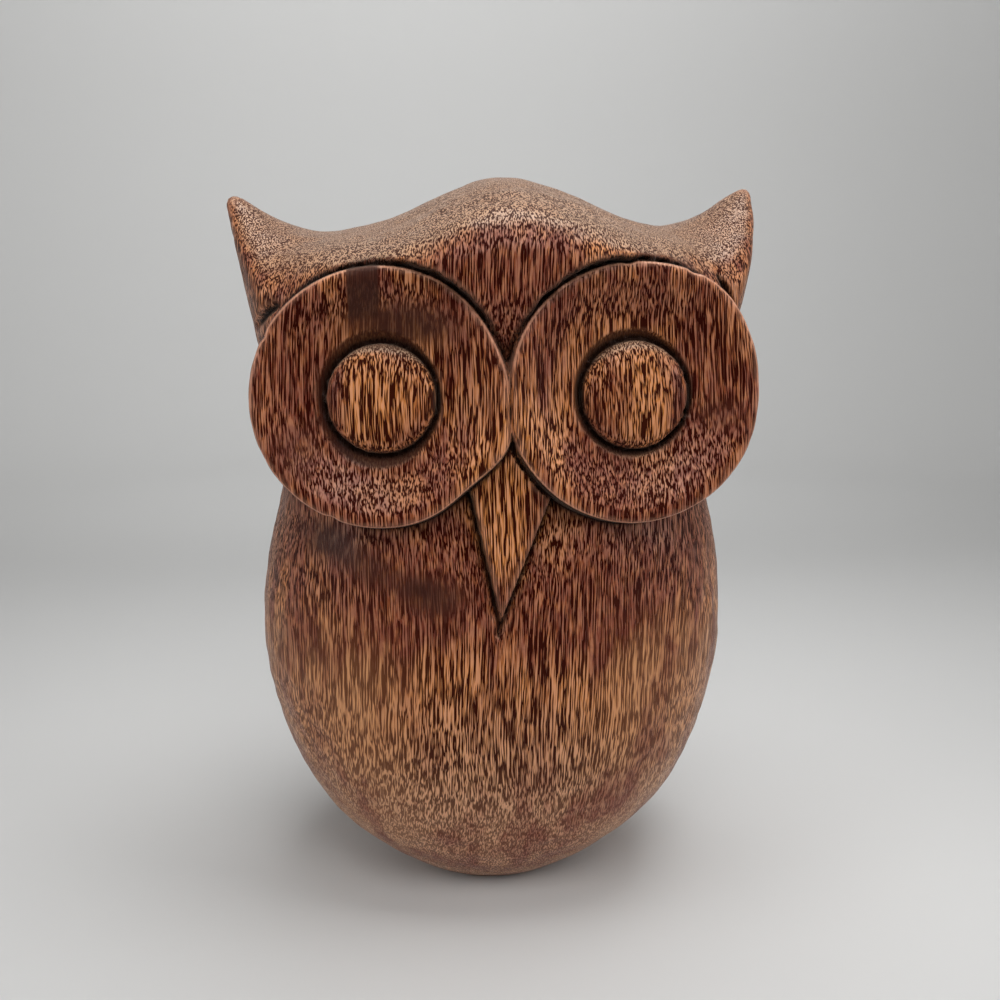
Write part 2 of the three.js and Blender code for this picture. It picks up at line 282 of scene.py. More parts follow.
def line_distance(x, z, start, end):
    edge = end - start
    t = np.clip(((x - start[0]) * edge[0] + (z - start[1]) * edge[1]) / (edge @ edge), 0, 1)
    return np.hypot(x - start[0] - t * edge[0], z - start[1] - t * edge[1])


def front_reach(x, z):
    """Reach of the carved front: the plain section less the forehead hollow and the paring."""
    across = (x - HOLLOW_X) / HOLLOW_HALF_WIDTH
    up = (z - HOLLOW_LEVEL) / HOLLOW_HALF_HEIGHT
    hollow = HOLLOW_DEPTH * np.exp(-across * across - up * up)
    near = np.clip(1 - np.maximum(beak_distance(x, z), 0) / PARING_REACH, 0, 1)
    paring = PARING_DEPTH * near ** 1.5 * smoothstep(PARING_FROM, PARING_TO, z)
    return reach("front", z) - hollow - paring


def top_height(x, y, crown_rise):
    """Height of the head's top surface: skull, crown hump and two ear peaks."""
    width = np.where(x < CROWN_X, CROWN_WIDTH["left"], CROWN_WIDTH["right"])
    height = SKULL_HEIGHT + crown_rise * np.exp(-(((x - CROWN_X) / width) ** 2))
    from_ridge = y - SKULL_RIDGE_Y
    corner = CORNER_FALL * smoothstep(CORNER_FALL_FROM, CORNER_FALL_TO, np.abs(x))
    height = height - np.where(from_ridge < 0, FRONT_FALL + corner, BACK_FALL) * from_ridge ** 2
    for ear in EARS:
        inward = ear["side"] * (ear["x"] - x)
        across = np.where(inward > 0, inward / ear["reach"], inward / EAR_OUTER_REACH)
        along = (y - ear["y"]) / np.where(y < ear["y"], EAR_FRONT_REACH, EAR_BACK_REACH)
        distance = np.sqrt(across ** 2 + along ** 2 + EAR_TIP_BLUNTNESS ** 2)
        height = height + ear["rise"] * np.clip(1 + EAR_TIP_BLUNTNESS - distance, 0, 1) ** ear["power"]
    return height


def body_distance(x, y, z, sizes):
    """Distance outside the body and head, before the face is carved."""
    across = np.where(x < 0, reach("left", z), reach("right", z))
    depth = np.where(y < 0, front_reach(x, z), reach("back", z))
    chest = np.where(
        z < BELLY_LEVEL,
        FOOT_SQUARENESS + (CHEST_SQUARENESS[0] - FOOT_SQUARENESS) * smoothstep(0, FOOT_LEVEL, z),
        along_levels(CHEST_SQUARENESS, z),
    )
    power = np.where(y < 0, chest, BACK_SQUARENESS)
    section = ((np.abs(x) / across) ** power + (np.abs(y) / depth) ** power) ** (1 / power)
    side = (section - 1) * np.minimum(across, depth)
    to_ear = smoothstep(EAR_ROUNDING_FROM, EAR_ROUNDING_TO, np.abs(x))
    rounding = BROW_ROUNDING + (EAR_ROUNDING - BROW_ROUNDING) * to_ear
    facing = smoothstep(*CORNER_FACING, np.arctan2(-y, np.abs(x)))
    corner = BROW_ROUNDING + (CORNER_ROUNDING - BROW_ROUNDING) * to_ear
    rounding = rounding + (corner - rounding) * facing
    over_top = (z - top_height(x, y, sizes.crown_rise)) * TOP_LEVELLING
    return smooth_max(side, over_top, rounding)


class DiscShape:
    """Coordinates on one eye disc, and the surfaces that are cut for it."""

    def __init__(self, disc, sizes):
        turn = disc["side"] * DISC_TURN_OUT
        self.disc = disc
        self.sizes = sizes
        self.radius = sizes.disc_radius + disc["radius_change"]
        self.right = np.array([math.cos(turn), math.sin(turn), 0])
        lean = math.cos(DISC_LEAN_BACK)
        self.out = np.array([math.sin(turn) * lean, -math.cos(turn) * lean, math.sin(DISC_LEAN_BACK)])
        self.up = np.cross(self.right, -self.out)

    def local(self, x, y, z, shift=(0, 0)):
        """Distance from the disc's axis, direction round it, and height over the rim plane,
        with the axis moved in the plane by shift."""
        away = [value - centre for value, centre in zip((x, y, z), self.disc["centre"])]
        across = sum(part * way for part, way in zip(away, self.right)) - shift[0]
        up = sum(part * way for part, way in zip(away, self.up)) - shift[1]
        height = sum(part * way for part, way in zip(away, self.out))
        return np.hypot(across, up), np.arctan2(up, across), height

    def rim(self, direction):
        """Radius of the carved rim, which is wide of the circle at the swellings."""
        radius = self.radius
        for towards, spread, rise in self.disc["swellings"]:
            away = np.angle(np.exp(1j * (direction - towards)))
            radius = radius + rise * np.exp(-((away / spread) ** 2))
        for towards in self.disc["nicks"]:
            away = np.angle(np.exp(1j * (direction - towards)))
            radius = radius - NICK_DEPTH * np.exp(-((away / NICK_SPREAD) ** 2))
        return radius

    def groove_reach(self, direction):
        """Outer radius of the ring groove, which was cut wider in some directions."""
        spread, along, up, tall = self.disc["groove_wander"]
        wander = along * np.cos(direction) + up * np.sin(direction) + tall * np.cos(2 * direction)
        return self.sizes.groove_radius + spread + wander

    def face_height(self, across, rim, pupil_across, pupil_direction):
        """Height of the face over the rim plane: land, dish, ring groove and pillow pupil."""
        sizes = self.sizes
        inner = self.groove_reach(pupil_direction)
        t = np.clip((rim - sizes.rim_land - across) / (rim - sizes.rim_land - inner), 0, 1)
        eased = t * t * (3 - 2 * t)
        bowl = DISH_FLARE * (1 - (1 - t) ** DISH_POWER) + (1 - DISH_FLARE) * eased
        foot = sizes.pupil_radius + GROOVE_FLOOR
        down = np.clip((inner - pupil_across) / (inner - foot), 0, 1)
        groove = -sizes.dish_depth - (sizes.groove_depth - sizes.dish_depth) * down
        share = np.clip(pupil_across / sizes.pupil_radius, 0, 1)
        rise = (1 - share ** PUPIL_SQUARENESS) ** (1 / PUPIL_SQUARENESS)
        pupil = -sizes.groove_depth + (sizes.groove_depth - PUPIL_CROWN_DEPTH) * rise
        beyond_pupil = np.where(pupil_across < inner, groove, -sizes.dish_depth * bowl)
        return np.where(pupil_across < sizes.pupil_radius, pupil, beyond_pupil)

    def distance(self, x, y, z):
        across, direction, height = self.local(x, y, z)
        rim = self.rim(direction)
        depth = np.maximum(-height, 0)
        taper = (self.radius - DISC_ROOT_RADIUS) / (DISC_ROOT_DEPTH - DISC_WALL)
        wall = rim + DISC_DRAFT * np.minimum(depth, DISC_WALL) - taper * np.maximum(depth - DISC_WALL, 0)
        pupil = self.local(x, y, z, self.disc["pupil_shift"])[:2]
        face = (height - self.face_height(across, rim, *pupil)) * FACE_LEVELLING
        disc = smooth_max(across - wall, face, RIM_ROUNDING)
        return np.maximum(disc, -height - DISC_ROOT_DEPTH)

    def moat(self, x, y, z):
        """Distance outside what is cut away round and in front of the disc."""
        across, direction, height = self.local(x, y, z)
        share = np.clip((height + MOAT_DEPTH) / (2 * MOAT_DEPTH), 0, 1)
        gap = MOAT_FLOOR_GAP + (MOAT_MOUTH_GAP - MOAT_FLOOR_GAP) * share
        ragged = MOAT_RAGGEDNESS * ripple(x, y, z, **RAGGED_WAVES) * share
        return np.maximum(across - self.rim(direction) - gap - ragged, -height - MOAT_DEPTH)

    def ear_cut(self, x, y, z):
        """Depth of the short second cut where the ear's front runs out beside the disc."""
        across, direction, height = self.local(x, y, z)
        towards, spread = self.disc["ear_cut"]
        along = (direction - towards) / spread
        aside = (across - self.radius - EAR_CUT_GAP - EAR_CUT_TILT * along) / EAR_CUT_WIDTH
        return EAR_CUT_DEPTH * np.exp(-(along ** 4) - aside ** 2) * smoothstep(*EAR_CUT_LEVELS, height)

    def beak_gap(self, x, y, z, gap):
        """Distance outside the thin gap left between the disc's rim and the beak."""
        across, direction, height = self.local(x, y, z)
        return np.maximum(across - self.rim(direction) - gap, -height - BEAK_EYE_GAP_DEPTH)


def beak_body(x, y, z):
    """Distance outside the kite, with a low crest down its front and sloping sides."""
    front = -(BEAK_TIP_REACH - BEAK_SLOPE * (z - BEAK_TIP[1]) - BEAK_CREST * (x - MEETING_X) ** 2)
    side = beak_distance(x, z) - BEAK_DRAFT * np.clip(y - front, 0, BEAK_FLARE_DEPTH)
    return np.maximum(smooth_max(side, front - y, BEAK_ROUNDING), y - BEAK_ROOT_Y)


def owl_distance(x, y, z, sizes):
    """Distance outside the finished carving, nought on its surface."""
    discs = [DiscShape(disc, sizes) for disc in DISCS]
    owl = body_distance(x, y, z, sizes) + SHAVING
    marks = ripple(x, y, z, **LONG_WAVES) + SHORT_SHARE * ripple(x, y, z, **SHORT_WAVES)
    owl = owl + sizes.tool_marks * marks
    for disc in discs:
        owl = smooth_max(owl + disc.ear_cut(x, y, z), -disc.moat(x, y, z), MOAT_ROUNDING)
    eyes = np.minimum(discs[0].distance(x, y, z), discs[1].distance(x, y, z))
    eyes = eyes + sizes.tool_marks * (DISC_WAVES * marks + DISC_SHAVING)
    between = np.abs(x - MEETING_X - MEETING_LEAN * np.maximum(MEETING_LEVEL - z, 0))
    eyes = eyes + MEETING_DEPTH * np.exp(-((between / MEETING_WIDTH) ** 2))
    beak = beak_body(x, y, z)
    for disc, gap in zip(discs, BEAK_EYE_GAPS):
        beak = smooth_max(beak, -disc.beak_gap(x, y, z, gap), BEAK_EYE_GAP_ROUNDING)
    owl = smooth_min(owl, beak, BEAK_BLEND)
    in_front = y < BEAK_ROOT_Y
    edge = np.abs(beak_distance(x, z) - BEAK_LINE_OUTSIDE * MM) / BEAK_LINE_WIDTH
    owl = owl + BEAK_LINE_DEPTH * smoothstep(*BEAK_LINE_LEVELS, z) * np.exp(-edge * edge) * in_front
    owl = smooth_min(owl, eyes, DISC_BLEND)
    line = line_distance(x, z, BEAK_TIP, TIP_LINE_END) / TIP_LINE_WIDTH
    owl = owl + TIP_LINE_DEPTH * np.exp(-(line ** 2)) * in_front
    return np.maximum(owl, -z)


def graded(breaks):
    """Grid lines from (start in mm, cell size in mm) pairs, the last with the end alone."""
    lines = []
    for (start, cell), (end, _) in zip(breaks[:-1], breaks[1:]):
        lines.extend(np.linspace(start, end, round((end - start) / cell), endpoint=False))
    lines.append(breaks[-1][0])
    return np.array(lines) * MM


def grid_crossings(values, lines, axis):
    """Where the surface crosses the grid lines along one axis: cell, point and way out."""
    inside = np.swapaxes(values < 0, 0, axis)
    hits = list(np.nonzero(inside[:-1] != inside[1:]))
    hits[0], hits[axis] = hits[axis], hits[0]
    cell = np.stack(hits, 1)
    beyond = cell.copy()
    beyond[:, axis] += 1
    start = values[tuple(cell.T)]
    end = values[tuple(beyond.T)]
    points = np.stack([lines[i][cell[:, i]] for i in range(3)], 1)
    step = lines[axis][beyond[:, axis]] - lines[axis][cell[:, axis]]
    points[:, axis] += start / (start - end) * step
    return cell, points, start < 0


def corner_values(values, place, whole=()):
    """The values at one corner of every cell, or along a whole axis."""
    parts = [slice(None, -1), slice(1, None)]
    return values[tuple(slice(None) if i in whole else parts[place[i]] for i in range(3))]


def pinched_corners(values):
    """Grid corners outside the surface to fill where it would touch itself: on a face of a
    cell whose corners are in and out crosswise, or in a cell with two far corners alone."""
    found = []
    for axis in range(3):
        one, two = (axis + 1) % 3, (axis + 2) % 3
        places = np.zeros((4, 3), int)
        places[[1, 3], one] = 1
        places[[2, 3], two] = 1
        corners = [corner_values(values, place, (axis,)) for place in places]
        inside = [corner < 0 for corner in corners]
        cross = (inside[0] == inside[3]) & (inside[1] == inside[2]) & (inside[0] != inside[1])
        outside = [np.where(corner[cross] < 0, np.inf, corner[cross]) for corner in corners]
        found.append(np.argwhere(cross) + places[np.argmin(outside, axis=0)])
    places = np.array(list(np.ndindex(2, 2, 2)))
    inside = np.array([corner_values(values, place) < 0 for place in places])
    count = inside.sum(0)
    for i in range(4):
        filled = inside[i] & inside[7 - i] & (count == 2)
        found.append(np.argwhere(filled) + places[i ^ 1])
        empty = ~inside[i] & ~inside[7 - i] & (count == 6)
        found.append(np.argwhere(empty) + places[i])
    return np.unique(np.concatenate(found), axis=0)


def fill_pinches(values):
    """Fills grid corners until the surface touches itself nowhere."""
    while True:
        at = tuple(pinched_corners(values).T)
        if not len(at[0]):
            return
        values[at] = JUST_INSIDE


def surface_normals(distance, points, step=0.02 * MM):
    slopes = []
    for axis in range(3):
        shift = np.zeros(3)
        shift[axis] = step
        slopes.append(distance(*(points + shift).T) - distance(*(points - shift).T))
    normals = np.stack(slopes, 1)
    return normals / np.maximum(np.linalg.norm(normals, axis=1, keepdims=True), 1e-12)


def skin(distance, lines, stiffness=0.03):
    """Quads over the surface where distance is nought, one corner for each grid cell it
    passes through, placed where the planes of the surface there meet best."""
    shape = tuple(len(line) for line in lines)
    values = np.empty(shape, np.float32)
    for i, x in enumerate(lines[0]):
        y, z = np.meshgrid(lines[1], lines[2], indexing="ij")
        values[i] = distance(np.full(y.shape, x), y, z)
    fill_pinches(values)
    corners_of, points, quads = [], [], []
    for axis in range(3):
        cell, crossing, outward = grid_crossings(values, lines, axis)
        one, two = (axis + 1) % 3, (axis + 2) % 3
        around = []
        for back_one, back_two in ((0, 0), (1, 0), (1, 1), (0, 1)):
            corner = cell.copy()
            corner[:, one] -= back_one
            corner[:, two] -= back_two
            around.append(np.ravel_multi_index(tuple(corner.T), shape))
        around = np.stack(around, 1)
        corners_of.append(around)
        points.append(crossing)
        quads.append(np.where(outward[:, None], around, around[:, ::-1]))
    corners_of = np.concatenate(corners_of)
    points = np.concatenate(points)
    normals = surface_normals(distance, points)
    cells, index = np.unique(corners_of.ravel(), return_inverse=True)
    index = index.ravel()

    def gathered(weights):
        return np.bincount(index, np.repeat(weights, 4), minlength=len(cells))

    count = gathered(np.ones(len(points)))
    middle = np.stack([gathered(points[:, i]) for i in range(3)], 1) / count[:, None]
    offset = (normals * points).sum(1)
    right_side = np.stack([gathered(normals[:, i] * offset) for i in range(3)], 1)
    matrix = np.empty((len(cells), 3, 3))
    for i in range(3):
        for j in range(3):
            matrix[:, i, j] = gathered(normals[:, i] * normals[:, j])
    right_side -= np.einsum("nij,nj->ni", matrix, middle)
    matrix += np.eye(3) * (stiffness * count)[:, None, None]
    places = middle + np.linalg.solve(matrix, right_side[..., None])[..., 0]
    at = np.unravel_index(cells, shape)
    low = np.stack([lines[i][at[i]] for i in range(3)], 1)
    high = np.stack([lines[i][at[i] + 1] for i in range(3)], 1)
    return np.clip(places, low, high), np.searchsorted(cells, np.concatenate(quads))


def largest_shell(points, quads):
    """The largest connected part of a mesh, without any crumbs."""
    label = np.arange(len(points))
    while True:
        lowest = label[quads].min(1)
        reached = label.copy()
        for i in range(4):
            np.minimum.at(reached, quads[:, i], lowest)
        reached = reached[reached]
        if np.array_equal(reached, label):
            break
        label = reached
    kept = label == np.bincount(label).argmax()
    number = np.cumsum(kept) - 1
    return points[kept], number[quads[kept[quads[:, 0]]]]


def linear(hex_colour):
    """An sRGB hex colour as linear red, green and blue."""
    parts = [int(hex_colour[i:i + 2], 16) / 255 for i in (1, 3, 5)]
    return [part / 12.92 if part <= 0.04045 else ((part + 0.055) / 1.055) ** 2.4 for part in parts]


def length(name, description, millimetres):
    return bpy.props.FloatProperty(
        name=name, description=description, default=millimetres * MM, min=0, unit="LENGTH", precision=4
    )


def light_power(name, description, watts):
    return bpy.props.FloatProperty(name=name, description=description, default=watts, min=0, unit="POWER")


def colour(name, description, hex_colour):
    default = linear(hex_colour)
    return bpy.props.FloatVectorProperty(
        name=name, description=description, default=default, size=3, min=0, max=1, subtype="COLOR"
    )


class CarvingSizes(bpy.types.PropertyGroup):
    crown_rise: length("Crown rise", "Height of the crown hump over the skull", 13.9)
    disc_radius: length("Eye disc radius", "Radius of an eye disc at its rim", 29.25)
    rim_land: length("Rim width", "Width of the flat left round an eye disc", 2.6)
    dish_depth: length("Dish depth", "How far the disc is hollowed at the ring groove", 4.2)
    groove_radius: length("Groove radius", "Outer radius of the ring groove", 13.9)
    groove_depth: length("Groove depth", "Depth of the ring groove under the rim", 6.3)
    pupil_radius: length("Pupil radius", "Radius of the raised pupil", 12.35)
    tool_marks: length("Tool marks", "Height of the gouge's waves on the plain surfaces", 0.16)


class FinishColours(bpy.types.PropertyGroup):
    gold: colour("Bare wood", "Golden brown of the wood where the stain is thin", "#CA7E37")
    # Pore edges: pale wood with a painted glint; also the painted highlight on worn edges and rims
    lip_and_glint: colour("Pore edges", "Pale wood at the rubbed edges of the pores", "#E2A384")
    tan: colour("Low belly wood", "Paler tan of the worn lower belly", "#BC8E66")
    red: colour("Stained wood", "Reddish brown where the stain has soaked in", "#722A0B")
    # Rubbed end grain: end grain tone with a painted sheen on the upward faces
    rubbed: colour("Rubbed end grain", "Greyish tan of the rubbed top and ears", "#B3977C")
    film: colour("Lacquer film", "Greyish sheen of the lacquer film seen at a slant", "#D8C4B2")
    pore: colour("Pores", "Dark stain left in the open pores", "#2C0501")
    # Pitch also colours the collar in each ring groove, there stain with painted shade
    pitch: colour("Pitch", "Smooth dark patches where the stain lies on the wood", "#30140C")
    # The groove colour is stain with painted shade, in the cuts, hollows and round the rims
    groove: colour("Grooves", "Nearly black stain in the cut grooves", "#170803")


class StageLook(bpy.types.PropertyGroup):
    floor: colour("Floor", "Pale grey of the floor and backdrop", "#CFCFCE")
    key_power: light_power("Top light", "Power of the large soft light above", 1.6)
    fill_power: light_power("Front fill", "Power of the soft light in front", 0.44)
    side_power: light_power("Side fills", "Power of the soft light at each side", 0.12)
    backdrop_power: light_power("Backdrop light", "Power of the light on the wall behind", 2.6)
    wall_power: light_power("Wall lights", "Power of the light on each other wall", 0.55)
    surround: bpy.props.FloatProperty(
        name="Surround", description="Brightness of the pale room round the stage", default=0.08, min=0
    )


def add_node(tree, kind, *values, out=0, named=None, **settings):
    """Adds a shader node with its settings, where a kind such as Math.ADD gives the operation
    too. Values and links go to its sockets in order, or by name or number, and its output
    numbered or named out is handed back."""
    kind, _, operation = kind.partition(".")
    node = tree.nodes.new("ShaderNode" + kind)
    if operation:
        node.operation = operation
    for name, value in settings.items():
        setattr(node, name, value)
    for key, value in [*enumerate(values), *(named or {}).items()]:
        if isinstance(value, bpy.types.NodeSocket):
            tree.links.new(value, node.inputs[key])
        else:
            node.inputs[key].default_value = value
    return node.outputs[out]


# Patterns in the wood: the size in mm of one wave across, from front to back and along the
# grain, then the detail, the roughness and where the noise is read. The pores are straight
# lines about 0.4 mm wide and 0.9 mm apart. They are long, and show as dashes where the
# surface cuts across the grain and as dots on end grain
PATTERNS = {
    "sway": ((55, 55, 70), 1, 0.5, (0, 0, 0)),
    "wriggle": ((3, 3, 10), 1, 0.5, (4, 4, 4)),
    "streaks": ((0.33, 0.7, 13), 1, 0.4, (0, 0, 0)),
    "fibres": ((0.2, 0.45, 3.5), 0, 0.5, (11, 2, 9)),
    "broad": ((9, 9, 34), 3, 0.6, (5, 19, 2)),
    "mottle": ((2.2, 2.2, 3.4), 3, 0.65, (3, 1, 8)),
}
SWAY_REACH, WRIGGLE_REACH = (8, 10, 0), (0.5, 0.6, 0)

# On the face the patterns are drawn out from front to back, so that dashes stay dashes on its
# slopes. Behind this Y in mm the pores are as fine that way as they are across the face
FACE_BACK = -32
FINER_BEHIND = 0.6

# The board-like dark patch on the left eye disc: its middle, half width, soft edge and the
# heights over which it comes in, all in mm
BOARD_X, BOARD_HALF_WIDTH, BOARD_EDGE = -31.3, 3.5, 0.3
BOARD_LEVELS = (145, 151)

# Levels of the pore pattern, which lies about 0.5: the pale pore edge with its painted glint, a
# red stained edge and the dark pore, with its depth
LIP_BAND, RED_BAND, PORE_BAND = (0.36, 0.45), (0.41, 0.49), (0.49, 0.54)
PORE_DEPTH = 0.13 * MM

# Heights and distances from the middle plane in mm: where the wood is paler, where the pores
# fade, and where low down at the sides the wood is paler and its pores fade
PALE_LEVELS, FADE_LEVELS = (26, 74), (18, 52)
PALE_SIDE_REACH, PALE_SIDE_LEVELS = (12, 34), (70, 92)

# How far in mm the dark of stain and painted shade reaches from a pupil, from a rim and from
# the beak's outline, each as the fade at its near side and at its far one
PUPIL_STAIN_AND_SHADE = ((-0.35, 0.15), (0.6, 1.9))
RIM_STAIN_AND_SHADE = ((-0.25, 0.1), (0.7, 1.9))
LINE_STAIN_AND_SHADE = (0.1, 1)

# Satin lacquer, with a faint sheen at a slant from the film's fine dust and scratches
LACQUER = {"IOR": 1.5, "Specular IOR Level": 0.4, "Sheen Weight": 0.15, "Sheen Roughness": 0.45}

# Marks stored on the mesh's points and read by the material
MARKS = (
    "hollow", "worn", "end_grain", "stain", "pitch",
    "from_pupil", "from_groove", "from_rim", "from_beak", "disc_wall",
)

# Setting of a Map Range node, so that it eases in and out
EASED = {"interpolation_type": "SMOOTHSTEP"}


def wood_pattern(tree, place, name, out=0):
    """One of the wood's patterns at a place in mm."""
    sizes, detail, roughness, start = PATTERNS[name]
    scale = [1 / size for size in sizes]
    place = add_node(tree, "VectorMath.MULTIPLY_ADD", place, scale, start)
    look = {"Vector": place, "Scale": 1, "Detail": detail, "Roughness": roughness}
    return add_node(tree, "TexNoise", out=out, named=look)


def wood_grain(tree, in_mm):
    """The place in the trunk: its grain sways, and each fibre wriggles."""
    add = functools.partial(add_node, tree)
    grain = in_mm
    for name, reach in (("sway", SWAY_REACH), ("wriggle", WRIGGLE_REACH)):
        aside = add("VectorMath.SUBTRACT", wood_pattern(tree, in_mm, name, "Color"), (0.5, 0.5, 0.5))
        grain = add("VectorMath.MULTIPLY_ADD", aside, reach, grain)
    behind = add("Math.ADD", add("SeparateXYZ", grain, out="Y"), -FACE_BACK)
    behind = add("Math.MULTIPLY", add("Math.MAXIMUM", behind, 0), FINER_BEHIND)
    return add("VectorMath.ADD", grain, add("CombineXYZ", 0, behind))


def stained_hardwood(finish):
    """Open pored tropical hardwood under a wiped dark stain and a satin lacquer. The pores are
    fine dark dashes along the grain on upright faces and dots on end grain, because the
    pattern is solid and stretched along Z. Grooves are darkened by the stain and by painted shade,
    high edges are paled by wear and a painted highlight, pore edges are pale wood with a painted
    glint, and the upward end grain is paler with a painted sheen."""
    material = bpy.data.materials.new("Stained open pored hardwood")
    material.use_nodes = True
    tree = material.node_tree
    shader = tree.nodes["Principled BSDF"]
    add = functools.partial(add_node, tree)
    in_mm = add("VectorMath.SCALE", add("TexCoord", out="Object"), named={"Scale": 1 / MM})
    across, _, height = add("SeparateXYZ", in_mm).node.outputs
    grain = wood_grain(tree, in_mm)
    streaks, fibres, broad = (wood_pattern(tree, grain, name) for name in ("streaks", "fibres", "broad"))
    mottle = wood_pattern(tree, in_mm, "mottle")
    depth = add("Math.ADD", streaks, add("Math.MULTIPLY_ADD", fibres, 0.45, -0.225))
    torn = add("Math.MULTIPLY_ADD", streaks, 3.2, -1.6)
    mark = {name: add("Attribute", out="Fac", attribute_name=name) for name in MARKS}

    # Stain held in the grooves, with painted shade in them, torn along the grain: round the pupils,
    # outside the rims, along the beak's outline and in every hollow
    ring = add("Math.ADD", mark["from_pupil"], add("Math.MULTIPLY", torn, 0.6))
    near, far = PUPIL_STAIN_AND_SHADE
    ring = add("MapRange", ring, *far, 1, 0, **EASED)
    ring = add("Math.MULTIPLY", add("MapRange", mark["from_pupil"], *near, **EASED), ring)
    near, far = RIM_STAIN_AND_SHADE
    edge = add("MapRange", add("Math.ADD", mark["from_rim"], torn), *far, 1, 0, **EASED)
    edge = add("Math.MULTIPLY", add("MapRange", mark["from_rim"], *near, **EASED), edge)
    # The painted shade round the rim is lightened on a disc's open side walls and stays dark above and
    # below the disc
    edge = add("Math.MULTIPLY", edge, add("Math.MULTIPLY_ADD", mark["disc_wall"], -0.8, 1))
    line = add("Math.ABSOLUTE", add("Math.SUBTRACT", mark["from_beak"], BEAK_LINE_OUTSIDE))
    line = add("Math.ADD", line, add("Math.MULTIPLY", torn, 0.25))
    line = add("Math.MULTIPLY", add("MapRange", line, *LINE_STAIN_AND_SHADE, 1, 0, **EASED), 0.85)
    groove = add("Math.MAXIMUM", add("Math.MAXIMUM", ring, edge), line)
    groove = add("Math.MAXIMUM", groove, mark["hollow"])

    # Pitch: the patches, the board with its straight sides along the grain, and the smooth
    # collar in each ring groove, which is stain with painted shade
    aside = add("Math.ABSOLUTE", add("Math.ADD", across, -BOARD_X))
    aside = add("Math.MULTIPLY_ADD", torn, 0.35, aside)
    sides = (BOARD_HALF_WIDTH - BOARD_EDGE, BOARD_HALF_WIDTH + BOARD_EDGE)
    board = add("MapRange", aside, *sides, 1, 0, **EASED)
    board = add("Math.MULTIPLY", board, add("MapRange", height, *BOARD_LEVELS, 0, 0.95, **EASED))
    board = add("Math.MULTIPLY", board, add("MapRange", mark["from_rim"], -0.1, 0.3, 1, 0, **EASED))
    collar = add("MapRange", mark["from_pupil"], -0.3, 0.2, **EASED)
    in_groove = add("MapRange", mark["from_groove"], -0.9, 0.4, 1, 0, **EASED)
    collar = add("Math.MULTIPLY", add("Math.MULTIPLY", collar, in_groove), 0.9)
    pitch = add("Math.MAXIMUM", add("Math.MAXIMUM", mark["pitch"], board), collar)

    # Low down at the sides the wood is paler and its pores fade
    pale_low_sides = add("MapRange", add("Math.ABSOLUTE", across), *PALE_SIDE_REACH, **EASED)
    low_down = add("MapRange", height, *PALE_SIDE_LEVELS, 1, 0, **EASED)
    pale_low_sides = add("Math.MULTIPLY", pale_low_sides, low_down)
    pale = add("MapRange", height, *PALE_LEVELS, 1, 0, **EASED)
    pale = add("Math.MAXIMUM", pale, add("Math.MULTIPLY", pale_low_sides, 0.55))

    # The red stain soaks in by broad bands and patches. End grain, which faces up, is painted a paler
    # greyish tan, partly its own tone and partly a painted sheen from the light above
    soaked = add("Math.ADD", add("MapRange", broad, 0.4, 0.64, **EASED), mark["stain"], use_clamp=True)
    speckle = add("MapRange", mottle, 0.25, 0.6, 0.6, 1, **EASED)
    soaked = add("Math.MULTIPLY", soaked, speckle, use_clamp=True)
    # Painted sheen and paler tone on the upward end grain, less where the stain mark is strong
    rubbed = add("Math.MULTIPLY_ADD", mark["stain"], -0.5, 0.9)
    rubbed = add("Math.MULTIPLY", mark["end_grain"], rubbed)

    # Pores are dark, in a red stained edge, between pale lips, which are pale wood with a painted
    # glint. The lips and the dark fade by a share where the wood is soaked, on end grain, under pitch or
    # low at the sides
    lip_and_glint = add("MapRange", depth, *LIP_BAND, 0.5, 0, **EASED)
    for where, loss in ((soaked, 0.5), (mark["end_grain"], 0.7), (pale_low_sides, 0.7)):
        lip_and_glint = add("Math.MULTIPLY", lip_and_glint, add("Math.MULTIPLY_ADD", where, -loss, 1))
    red_edge = add("MapRange", depth, *RED_BAND, 0, 0.55, **EASED)
    fade = add("MapRange", height, *FADE_LEVELS, 0.45, 1, **EASED)
    for where, loss in ((mark["end_grain"], 0.1), (pitch, 0.6), (pale_low_sides, 0.35)):
        fade = add("Math.MULTIPLY", fade, add("Math.MULTIPLY_ADD", where, -loss, 1))
    dark = add("Math.MULTIPLY", add("MapRange", depth, *PORE_BAND, **EASED), fade)

    # Worn edges, and the fine pale line just inside each rim: wear with a painted highlight
    rim_wear_and_highlight = add("Math.ABSOLUTE", add("Math.ADD", mark["from_rim"], 0.35))
    rim_wear_and_highlight = add("Math.MULTIPLY", add("MapRange", rim_wear_and_highlight, 0.1, 0.45, 1, 0, **EASED), 0.55)
    worn = add("Math.MAXIMUM", add("Math.MULTIPLY", mark["worn"], 0.18), rim_wear_and_highlight)

    wood = (*finish.gold, 1)
    for share, tint in (
        (pale, finish.tan),
        (soaked, finish.red),
        # Upward end grain: its own paler tone with a painted sheen
        (rubbed, finish.rubbed),
        # Pore edges: pale wood with a painted glint
        (lip_and_glint, finish.lip_and_glint),
        (red_edge, finish.red),
        (add("Math.MULTIPLY", dark, 0.97), finish.pore),
        # Worn edges and the rim line: wear with a painted highlight
        (worn, finish.lip_and_glint),
        # Pitch patches, and the ring grooves' collars: stain with painted shade
        (add("Math.MULTIPLY", pitch, 0.92), finish.pitch),
        # Grooves: stain with painted shade
        (groove, finish.groove),
    ):
        wood = add("Mix", share, out=2, named={6: wood, 7: (*tint, 1)}, data_type="RGBA")

